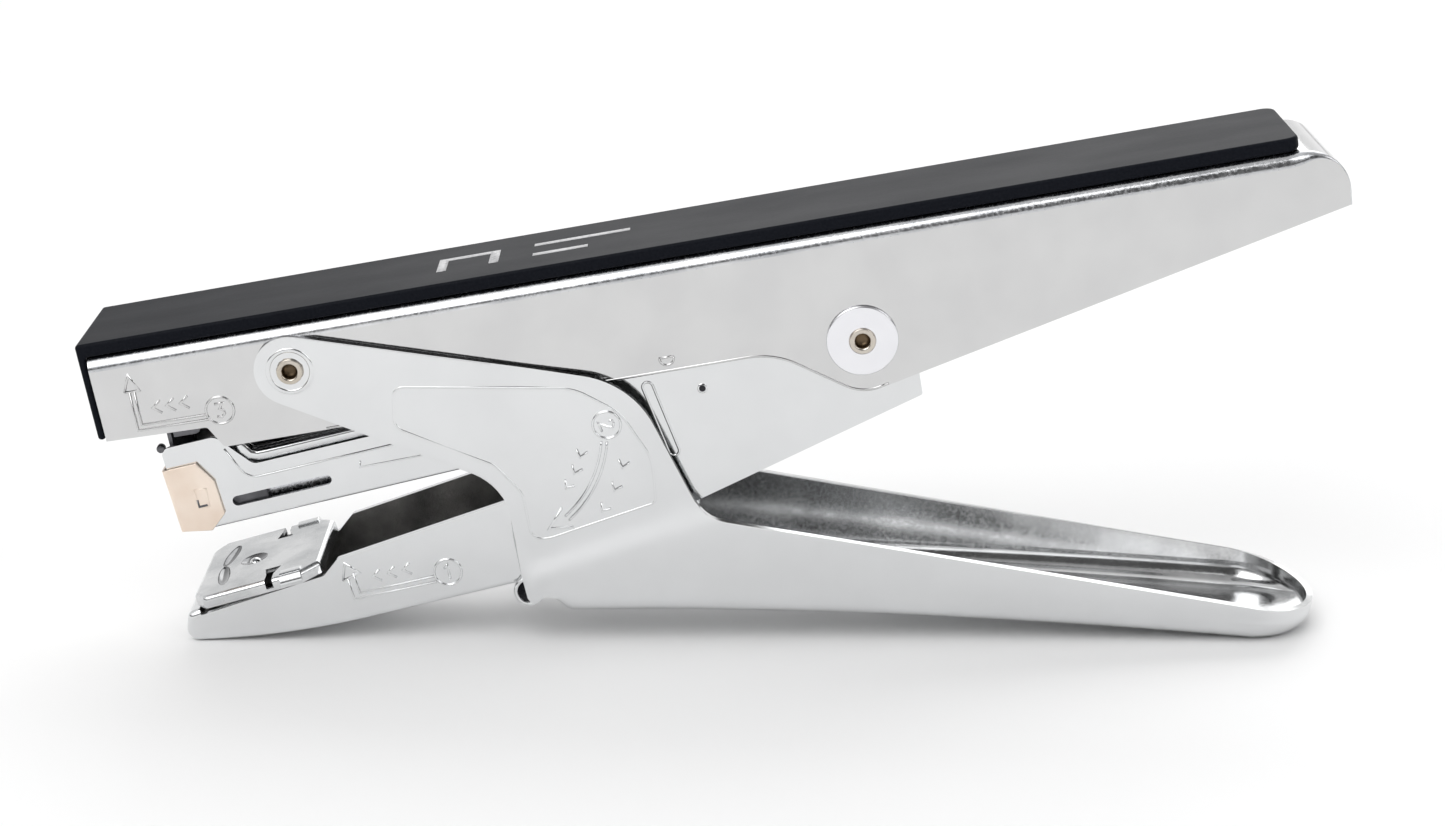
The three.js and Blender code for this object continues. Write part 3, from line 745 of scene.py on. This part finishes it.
def trough(x):
    """The grip's section at x: bottom height, wall half width at the foot, foot radius and lean."""
    rise, narrow = 0, 1
    if x > SPOON_START:
        narrow = cos(asin(min(1, (x - SPOON_START) / SPOON)))
        rise = 3.4 * (1 - narrow) ** 1.4
    sag_start, widest = 50, 62
    along = min(x, SPOON_START)
    sag = max(0, (along - sag_start) / (SPOON_START - sag_start)) ** 1.6
    floor = FLOOR + (TAIL - FLOOR) * sag
    foot = EAR_HALF + (FOOT_HALF - EAR_HALF) * smoothstep(x, 20, SPOON_START + 10)
    radius = 3.5 + 0.5 * smoothstep(x, 20, widest)
    half = EAR_HALF + (GRIP_HALF - EAR_HALF) * smoothstep(x, 30, widest)
    lean = (half - foot) / (rim_height(max(along, RIM_START[0])) - floor)
    return floor + rise, foot * narrow, radius * narrow, lean * narrow


def joggle(x, z):
    """How far the cheek steps out below the line from the tab to the rim."""
    run = JOGGLE_HEAD - JOGGLE_FOOT
    offset = Vector((x, z)) - JOGGLE_FOOT
    below = -run.cross(offset) / run.length
    return JOGGLE * smoothstep(below, -JOGGLE_BLUR, JOGGLE_BLUR)


def handle_wall(x, z):
    """The cheek's half width at a point on it."""
    bottom, foot, _, lean = trough(x)
    fade = smoothstep(x, 20, 34) * (1 - smoothstep(x, 60, 85))
    return foot + lean * (z - bottom) + (joggle(x, z) - 0.2) * fade


def handle_stations():
    """The places along X where the handle's sections stand, and the index of the first one with a web."""
    ear_steps, cheek_steps, grip_steps, spoon_steps = 9, 47, 130, 26
    stations = [-EAR_RADIUS * cos(pi / 2 * k / ear_steps) for k in range(ear_steps)]
    stations += [WEB_FRONT * k / cheek_steps for k in range(cheek_steps + 1)]
    web_index = len(stations) - 1
    grip = SPOON_START - WEB_FRONT
    stations += [WEB_FRONT + grip * k / grip_steps for k in range(1, grip_steps + 1)]
    stations += [SPOON_START + SPOON * sin(pi / 2 * k / spoon_steps) for k in range(1, spoon_steps + 1)]
    return stations, web_index


def web_lift(x):
    """How far the web's front end curls up beside the tab's notch."""
    return 1.2 * max(0, 1 - (x - WEB_FRONT) / 1.6) ** 2


ROWS, TURNS, WEB_STEPS = 30, 12, 8


def handle_section(x, high, low, joined):
    """The section at x as (y, z) points: down the near cheek, across the web if the cheeks are joined by
    one, and up the far cheek. Without a web, a cheek may end part of the way round its bottom corner."""
    bottom, _, radius, _ = trough(x)
    corner = bottom + radius
    edge = handle_wall(x, corner)
    half, web = [], []
    for row in range(ROWS + 1):
        z = high + (low - high) * row / ROWS
        y = handle_wall(x, z) if z >= corner else edge - radius + sqrt(radius**2 - (corner - z) ** 2)
        half.append((y, z))
    if joined:
        lift = web_lift(x)
        angles = [pi / 2 * k / TURNS for k in range(1, TURNS + 1)]
        half += [(edge - radius + radius * cos(a), corner - (radius - lift) * sin(a)) for a in angles]
        web = [((edge - radius) * (2 * k / WEB_STEPS - 1), bottom + lift) for k in range(1, WEB_STEPS)]
    return [(-y, z) for y, z in half] + web + half[::-1]


def handle_shell():
    """Two cheeks from the ears to the tail, joined by a web behind the tab and closed by the spoon."""
    top, throat = handle_lines()
    stations, web_index = handle_stations()
    least = 0.6
    vertices, faces, starts = [], [], []
    for i, x in enumerate(stations):
        bottom, _, radius, _ = trough(x)
        joined = i >= web_index
        low = bottom + radius if joined else max(height_at(throat, x), bottom + least)
        starts.append(len(vertices))
        vertices += [(x, y, z) for y, z in handle_section(x, height_at(top, x), low, joined)]
    starts.append(len(vertices))
    for i in range(len(stations) - 1):
        a, b, end = starts[i : i + 3]
        steps = range(end - b - 1) if i >= web_index else range(ROWS)
        faces += [([a + k, a + k + 1, b + k + 1, b + k], 0) for k in steps]
        if i < web_index:
            faces += [([b - 1 - k, b - 2 - k, end - 2 - k, end - 1 - k], 0) for k in range(ROWS)]
    a, b, end = starts[web_index - 1 : web_index + 2]
    for k in range(ROWS, ROWS + TURNS - 3):
        faces += [([a + ROWS, b + k, b + k + 1], 0), ([b - 1 - ROWS, end - 1 - k, end - 2 - k], 0)]
    shell = mesh_piece("handle_pressing", vertices, faces, HANDLE, [CHROME, TROUGH_SHADE, SHADE_PAINT])
    face_out(shell, (0, NEAR, 0))
    cut(thicken(shell, SHEET, inner=1), pin_cutter(0, 0, HANDLE))
    # The upward faces of the top edge take painted shade: near black along the cheeks for the gap under the lever,
    # and the trough's darker chrome along the rim.
    for face in shell.data.polygons:
        x, _, z = face.center / MM
        if abs(face.normal.y) < 0.5 and face.normal.z > 0.1 and z > rim_height(x) - 0.1:
            face.material_index = 2 if x < RIM_START[0] else 1
    return soften(shell, 0.16, angle=50)


def handle_step_mark():
    """The step's number in a ring, with a curved two-line arrow between two rows of chevrons."""
    cx, cz, radius, tip = 26.2, -9.3, 18, -46
    marks = [(arc(cx, cz, r, -4, tip, 20), False, 1) for r in (radius - 0.35, radius + 0.45)]
    marks += [ring(44.6, -8, 2), digit(2, 44.6, -8, 1.1, turn=-68)]
    x, z = cx + radius * cos(radians(tip)), cz + radius * sin(radians(tip))
    marks += [line((x + 0.9, z - 1.3), (x - 2.6, z - 1.7), (x - 0.7, z + 1.5))]
    for turn in (-14, -24, -34):
        for reach in (radius - 3, radius + 3.2):
            x, z = cx + reach * cos(radians(turn)), cz + reach * sin(radians(turn))
            marks.append(chevron(x, z, 1.3, turn - 90))
    embossed("handle_step_mark", marks, handle_wall, "handle")


def lower_handle():
    """The pressing, its panel's raised edge, the rivet's dish and a stop pad behind each tab whose middle is
    painted shade.
    """
    finished(handle_shell(), "handle", ["lower_handle"])
    panel = rounded(
        [(14.4, -2.4, 1.5), (14.4, -8.4, 2), (28.5, -14.2, 4), (32.4, -18.5, 4), (33.6, -25.8, 1.8)]
        + [(36.5, -25.3, 2), (51.5, -19.8, 1), (51, -13, 8), (46.5, -6, 8), (40, -2.6, 8)]
    )
    beads = (
        ("handle_panel", [(panel, True, 1)], 0.34, 0.11),
        ("handle_dish", [ring(0, 0, 3.1)], 0.7, 0.16),
    )
    inner, outer, rim = 9.75, 10.7, 2.3
    pad = [(AXIS, outer), (1.7, outer), (1.75, 10.92), (2.1, 10.95)]
    pad += [(rim, outer), (rim, inner), (AXIS, inner)]
    finishes = [SHADE_PAINT, CHROME]
    for side, label in SIDES:
        for name, lines, width, height in beads:
            embossed(f"{name}_{label}", lines, handle_wall, "handle", CHROME, width, height, side)
        # The pad's middle is painted shade, near black, for the hole behind the tab.
        stop = lathe(f"handle_stop_{label}", pad, (33, -34.05), side, HANDLE, finishes, steps=40, split=1)
        finished(soften(stop, 0.08), "handle")
    handle_step_mark()


# ---------------- anvil arm


def arm_step_mark():
    """The step's number in a ring, with a two-line arrow round three chevrons."""
    cx, cz = -59.7, -35.6
    marks = [ring(cx, cz, 2), digit(1, cx, cz, 1.15, turn=10)]
    marks += [line((-61.4, -37.1), (-73.4, -39.8), (-74.3, -36.6))]
    marks += [line((-61.5, -36.2), (-72.6, -38.8), (-73.5, -35.7))]
    marks += [line((-75, -36.9), (-74.7, -34.2), (-72.6, -35.7), (-75, -36.9))]
    marks += [chevron(x, -36.4 + 0.24 * (x + 71), 1.4, 193) for x in (-70.6, -68.4, -66.2)]
    embossed("arm_step_mark", marks, ARM_HALF, "arm")


def anvil_arm():
    """The arm's channel with its nose turned up, a stiffening rib and two pips on each side."""
    nose, web_end = (-96.3, -41.5), (-23, -25.35)
    fold = rounded(
        [nose, (-98, -42.2, 1.1), (-98.5, -46.6, 1.8), (-82.9, -45.8, 120), (-37.3, -34.4, 6), web_end],
        closed=False,
        steps=12,
    )
    free = rounded(
        [web_end, (8.8, -8.45, 0.4), (8.25, -5.2), (7, 7, 6), (-12, 6, 5), (-38, -1.5, 5)]
        + [(-48.5, -23.8, 6), (-75.7, -33.5, 0.6), (-77.8, -36.2, 0.6), nose],
        closed=False,
    )[1:-1]
    # The inside faces take the arm's painted shade.
    finishes = [CHROME, CHROME, ARM_INSIDE_SHADE, ARM_INSIDE_SHADE]
    arm = folded("arm_pressing", fold, free, ARM_HALF, 0.9, ARM, finishes)
    soften(thicken(arm, SHEET, inner=2), 0.22)
    finished(arm, "arm", ["anvil_arm"])
    arm_step_mark()

    lean, rib_radius = 111, 0.75
    rib = arc(-30.4, -7.3, rib_radius, lean - 90, lean + 90, 10)
    rib += arc(-26.7, -16.9, rib_radius, lean + 90, lean + 270, 10)
    pips = ((-22.6, -7.5, 0.75), (5.4, -6, 0.35))
    for side, label in SIDES:
        embossed(f"arm_rib_{label}", [(rib, True, 1)], ARM_HALF, "arm", CHROME, 0.4, 0.19, side)
        for number, (x, z, radius) in enumerate(pips, 1):
            # The top of each pip is painted near black, a painted shade that makes it read as a pit.
            dome = [(radius * cos(a), ARM_HALF - 0.05 + 0.2 * sin(a)) for a in quarter(10)]
            name = f"arm_pip_{number}_{label}"
            pip = lathe(name, dome, (x, z), side, ARM, [CHROME, SHADE_PAINT], steps=28, split=5)
            finished(pip, "arm")


# ---------------- anvil plate
# These are drawn in the anvil's frame: X from the plate's front edge, Z up from its face.

TRAY_HALF, TRAY_LENGTH = 11, 19.4
DIMPLE_X = 8


def shaded_cutter(cutter):
    """Makes what the cutter cuts take the second material, a dark painted shade."""
    for face in cutter.data.polygons:
        face.material_index = 1
    return cutter


def ellipsoid(name, centre, radii, turn):
    """A smooth cutter in the anvil's frame, turned about its upright axis."""
    built = bmesh.new()
    bmesh.ops.create_uvsphere(built, u_segments=32, v_segments=20, radius=1)
    data = bpy.data.meshes.new(name)
    built.to_mesh(data)
    built.free()
    scale = Matrix.Diagonal((*[r * MM for r in radii], 1))
    data.transform(Matrix.Translation(Vector(centre) * MM) @ Matrix.Rotation(radians(turn), 4, "Z") @ scale)
    data.shade_smooth()
    made = bpy.data.objects.new(name, data)
    bpy.context.scene.collection.objects.link(made)
    made.matrix_world = ANVIL
    return shaded_cutter(made)


def anvil_tray():
    """A tray with turned-down sides, a clinching groove in two halves, side slots and a dimple."""
    half, length, skirt, bend = TRAY_HALF, TRAY_LENGTH, 1.8, 0.7
    plan = rounded(
        [(0, 2.6 - half, 1), (1.8, -half, 1), (length - 3, -half, 0.8), (length, 2.4 - half, 0.8)]
        + [(length, half - 2.4, 0.8), (length - 3, half, 0.8), (1.8, half, 1), (0, half - 2.6, 1)],
        steps=5,
    )
    inward = normals_of(plan, closed=True)
    levels = [(0, -skirt), (0, -bend)]
    levels += [(bend * (1 - cos(radians(a))), -bend + bend * sin(radians(a))) for a in (22, 45, 68, 90)]
    count = len(plan)
    vertices = [(p.x + n.x * i, p.y + n.y * i, z) for i, z in levels for p, n in zip(plan, inward)]
    faces = bands(len(levels), count) + [(list(range(len(vertices) - count, len(vertices))), 0)]
    tray = mesh_piece("anvil_tray", vertices, faces, ANVIL, [ANVIL_STEEL, RECESS_SHADE])
    face_out(tray, (0, 0, 1))
    thicken(tray, THIN_SHEET)
    slot = ((11.2, CLEAR), (11.2, 8.6), (10.7, 6.1), (13.1, 6.1), (12.3, 8.6), (12.3, CLEAR))
    groove, dimple = (0.95, 4, 0.52), (2.5, 2.5, 0.92)
    cutters = []
    for side, _ in SIDES:
        outline = [Vector((x, side * y)) for x, y in slot]
        cutters.append(shaded_cutter(slab("slot_cutter", outline, -1.35, 2, ANVIL, [])))
        cutters.append(ellipsoid("groove_cutter", (3.9, side * 3.9, 0.02), groove, -side * 7))
    cutters.append(ellipsoid("dimple_cutter", (DIMPLE_X, 0, 0.5), dimple, 0))
    cut(tray, *cutters)
    soften(tray, 0.09, angle=40)
    finished(tray, "arm", ["anvil_plate"])


def anvil_rivet():
    """The domed rivet head in the dimple."""
    head = [(0.95 * cos(a), 0.75 * sin(a) - 0.6) for a in quarter(10)]
    upright = ANVIL @ Matrix.Rotation(pi / 2, 4, "X")
    dome = lathe("anvil_rivet_dome", head, (DIMPLE_X, 0), FAR, upright, [CHROME], steps=28)
    finished(dome, "arm", ["anvil_rivet"])


def anvil_lugs():
    """The small ears of the arm's sides that fold over the tray's edges."""
    bend, start, end = 1.5, 13.5, 16.8
    section = [(TRAY_HALF - 1.9, 0.3)]
    section += [(TRAY_HALF - 0.75 + bend * sin(a), bend * cos(a) - bend + 0.35) for a in quarter(15)]
    count = len(section)
    faces = [([k, k + 1, count + k + 1, count + k], 0) for k in range(count - 1)]
    for side, label in SIDES:
        vertices = [(x, side * y, z) for x in (start, end) for y, z in section]
        lug = mesh_piece(f"anvil_lug_{label}", vertices, faces, ANVIL, [CHROME])
        face_out(lug, (0, 0, 1))
        soften(thicken(lug, 0.55), 0.12)
        finished(lug, "arm")


# ---------------- magazine


def magazine_channel():
    """The outer channel: its web is underneath, and its sides have a lobe round the pivot and a slot."""
    floor, lobe = -6.15, 5.2
    fold = [Vector((-99.8, floor)), Vector((-8, floor))]
    free = arc(0, 0, lobe, -90, 90, 20)
    free += rounded(
        [(0, lobe), (-9, 2, 3), (-89.6, 2, 1.6), (-93.8, 7.3, 1.8), (-102, 7.3, 1.2), (-102, -5.65)],
        closed=False,
    )[1:]
    # The inner faces take painted shade, a darker copy of the chrome.
    finishes = [CHROME, CHROME, CHROME_SHADE_INSIDE, CHROME_SHADE_INSIDE]
    channel = folded("magazine_channel", fold, free, MAGAZINE_HALF, 0.5, MAGAZINE, finishes)
    thicken(channel, THIN_SHEET, inner=2)
    z, radius = -2.9, 0.75
    slot = arc(-79.3 - radius, z, radius, -90, 90, 10) + arc(-94.2 + radius, z, radius, 90, 270, 10)
    cut(channel, prism("slot_cutter", slot, -CLEAR, CLEAR, MAGAZINE, []))
    soften(channel, 0.1)
    finished(channel, "magazine", ["magazine_shell"])


def magazine_shell():
    """The channel with its rolled top edges, the dark hooks at the nose and the pressed lines."""
    magazine_channel()
    step = rounded([(-93, 5.2), (-91, 0, 2.6), (-40, 0)], closed=False)
    curl = 1.05
    knob = [(AXIS, 7.62), (0.42, 7.6), (0.6, 7.45), (0.62, 6.6), (AXIS, 6.6)]
    for side, label in SIDES:
        name = f"magazine_step_{label}"
        embossed(name, [(step, False, 1)], MAGAZINE_HALF, "magazine", CHROME, 0.34, 0.17, side)
        y = side * (MAGAZINE_HALF - curl + 0.12)
        path = [(-90.6, y, 5.4), (-90.3, y, 4.4), (-89.6, y, 3.5), (-88.6, y, 3.1)]
        path += [(x, y, 3.05) for x in range(-87, -14, 4)]
        bead = tube(f"magazine_roll_{label}", path, curl, MAGAZINE, [CHROME], sides=24)
        finished(soften(bead, 0.2), "magazine")
        name = f"magazine_hook_{label}"
        hook = lathe(name, knob, (-101.9, 7.35), side, MAGAZINE, [DARK_STEEL], steps=24)
        finished(hook, "magazine")
    recess = [line((-74.5, -1.3), (-74.8, -2.2), (-66, -2.6), (-60, -2.6))]
    embossed("magazine_recess_mark", recess, MAGAZINE_HALF, "magazine", CHROME, 0.28, 0.12)


def nose_clip():
    """The copper-coloured clip round the magazine's nose, with a small window and its catch."""
    front = -102.7
    fold = [Vector((front, 4.2)), Vector((front, -5.5))]
    free = [Vector(p) for p in ((-98.2, -6.25), (-95.7, -4.2), (-95.7, 1), (-97.5, 4.2))]
    clip = folded("nose_clip", fold, free, CLIP_HALF, 0.6, MAGAZINE, [CHAMPAGNE, CHAMPAGNE])
    soften(thicken(clip, 0.45), 0.1)
    finished(clip, "magazine", ["magazine_nose"])
    window = [Vector(p) for p in ((-98.9, 0.35), (-97.2, 0.15), (-97.5, -2.5), (-99.1, -2.5))]
    embossed("nose_window", [(window, True, 1)], CLIP_HALF, "magazine", CHAMPAGNE, 0.26, 0.15)
    catch = [line((-98.95, -1.2), (-99, -2.3), (-97.7, -2.3))]
    embossed("nose_catch", catch, CLIP_HALF, "magazine", DARK_STEEL, 0.42, 0.16)


def pusher_spring():
    """The coil round the pusher's rod."""
    turns, radius, wire, height, start, end = 22, 1.45, 0.3, -3.1, -88.3, -28.1
    steps = turns * 20
    points = []
    for k in range(steps + 1):
        t = k / steps
        angle = 2 * pi * turns * t
        points.append((start + (end - start) * t, radius * cos(angle), height + radius * sin(angle)))
    coil = tube("pusher_coil", points, wire, MAGAZINE, [SPRING], sides=8)
    finished(coil, "magazine", ["pusher_spring"])
    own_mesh(coil)


# ---------------- carried-over nodes

CARRIED = {
    "driver_blade": (DARK_STEEL, 0.08),
    "driver_holder": (DARK_STEEL, 0.2),
    "driver_rivet": (ZINC, 0.15),
    "pivot_sleeve": (ZINC, 0.12),
    "staple_rail": (ZINC, 0.12),
    "rod_stop": (DARK_STEEL, 0.2),
    "pusher_rod": (ZINC, 0.12),
    "staple_pusher": (DARK_STEEL, 0.2),
}


def carried_nodes():
    """The CAD nodes that are shown as they are get rounded edges and a finish."""
    for name, (material, edge) in CARRIED.items():
        node = frame["nodes"][name]
        node.data.materials.clear()
        node.data.materials.append(material)
        for face in node.data.polygons:
            face.use_smooth = True
        weld = node.modifiers.new("weld", "WELD")
        weld.merge_threshold = 0.002 * MM
        soften(node, edge)


# ---------------- stage, light and camera


def stage():
    """A pale floor."""
    half = 6000
    material, tree, principled, coordinates = shader("floor", 0, 0.6, (0.9, 0.9, 0.9))
    mottle = noise(tree, coordinates, 400)
    shades = [(0, (0.88, 0.88, 0.88)), (1, (0.92, 0.92, 0.92))]
    tree.links.new(ramp(tree, mottle, shades), principled.inputs["Base Color"])
    corners = [(-half, -half, 0), (half, -half, 0), (half, half, 0), (-half, half, 0)]
    floor = mesh_piece("floor", corners, [([0, 1, 2, 3], 0)], Matrix(), [material])
    face_out(floor, (0, 0, 1))


def portion(tree, value, start, end):
    """Runs from 0 to 1 as the value goes from start to end."""
    node = tree.nodes.new("ShaderNodeMapRange")
    node.inputs["From Min"].default_value = start
    node.inputs["From Max"].default_value = end
    tree.links.new(value, node.inputs["Value"])
    return node.outputs["Result"]


def mixed(tree, factor, first, second):
    """Blends two colours by the factor."""
    node = tree.nodes.new("ShaderNodeMix")
    node.data_type = "RGBA"
    for value, name in ((factor, "Factor"), (first, "A"), (second, "B")):
        tree.links.new(value, node.inputs[name])
    return node.outputs["Result"]


def tent():
    """A white tent of light. Dark bands round it, by height, give the chrome's bends their outlines."""
    world = bpy.data.worlds.new("tent")
    bpy.context.scene.world = world
    world.use_nodes = True
    tree = world.node_tree
    split = tree.nodes.new("ShaderNodeSeparateXYZ")
    tree.links.new(tree.nodes.new("ShaderNodeTexCoord").outputs["Generated"], split.inputs["Vector"])
    east, north, height = (split.outputs[axis] for axis in "XYZ")
    back = ramp(tree, height, [(0, 1), (0.25, 0.8), (0.62, 0.62), (1, 0.95)])
    right = ramp(tree, height, [(0, 1), (0.08, 1), (0.2, 0.1), (0.72, 0.07), (0.84, 0.32), (1, 0.5)])
    left = ramp(tree, height, [(0, 1), (0.05, 1), (0.12, 0.1), (0.26, 0.1), (0.38, 1), (1, 1)])
    front = mixed(tree, portion(tree, east, -0.28, -0.04), left, right)
    background = tree.nodes["Background"]
    tree.links.new(mixed(tree, portion(tree, north, 0.3, 0), back, front), background.inputs["Color"])
    background.inputs["Strength"].default_value = 1.06


LAMPS = {
    "key": ((-0.35, -0.55, 0.75), 0.7, 3.6, (0.01, 0, 0.03)),
    "fill": ((0.7, -0.45, 0.6), 0.6, 2, (0.03, 0, 0.03)),
    "back": ((0.1, 0.8, 0.7), 0.9, 3.9, (0, 0, 0.03)),
}


def lamps():
    """Soft square lamps, given as place, width, power in watts and the point they face."""
    for name, (place, width, power, aim) in LAMPS.items():
        data = bpy.data.lights.new(name, "AREA")
        data.size = width
        data.energy = power
        lamp = bpy.data.objects.new(name, data)
        bpy.context.scene.collection.objects.link(lamp)
        lamp.location = place
        lamp.rotation_euler = (Vector(aim) - Vector(place)).to_track_quat("-Z", "Y").to_euler()


def camera():
    """The photograph's viewpoint: a telephoto lens, square to the side and a little above it."""
    target = Vector((0.00172, 0, 0.03206))
    distance, elevation, turn = 0.4051, radians(18.83), radians(-0.33)
    away = Vector((sin(turn) * cos(elevation), -cos(turn) * cos(elevation), sin(elevation)))
    data = bpy.data.cameras.new("camera")
    data.lens = 68.91
    data.sensor_width = 36
    data.clip_start = 0.01
    eye = bpy.data.objects.new("camera", data)
    bpy.context.scene.collection.objects.link(eye)
    eye.location = target + away * distance
    eye.rotation_euler = (-away).to_track_quat("-Z", "Y").to_euler()
    bpy.context.scene.camera = eye


top_lever()
top_cover()
rivets_and_washers()
torsion_spring()
leaf_spring()
lower_handle()
anvil_arm()
anvil_tray()
anvil_rivet()
anvil_lugs()
magazine_shell()
nose_clip()
pusher_spring()
carried_nodes()
stage()
tent()
lamps()
camera()
bpy.context.scene.view_settings.view_transform = "Standard"
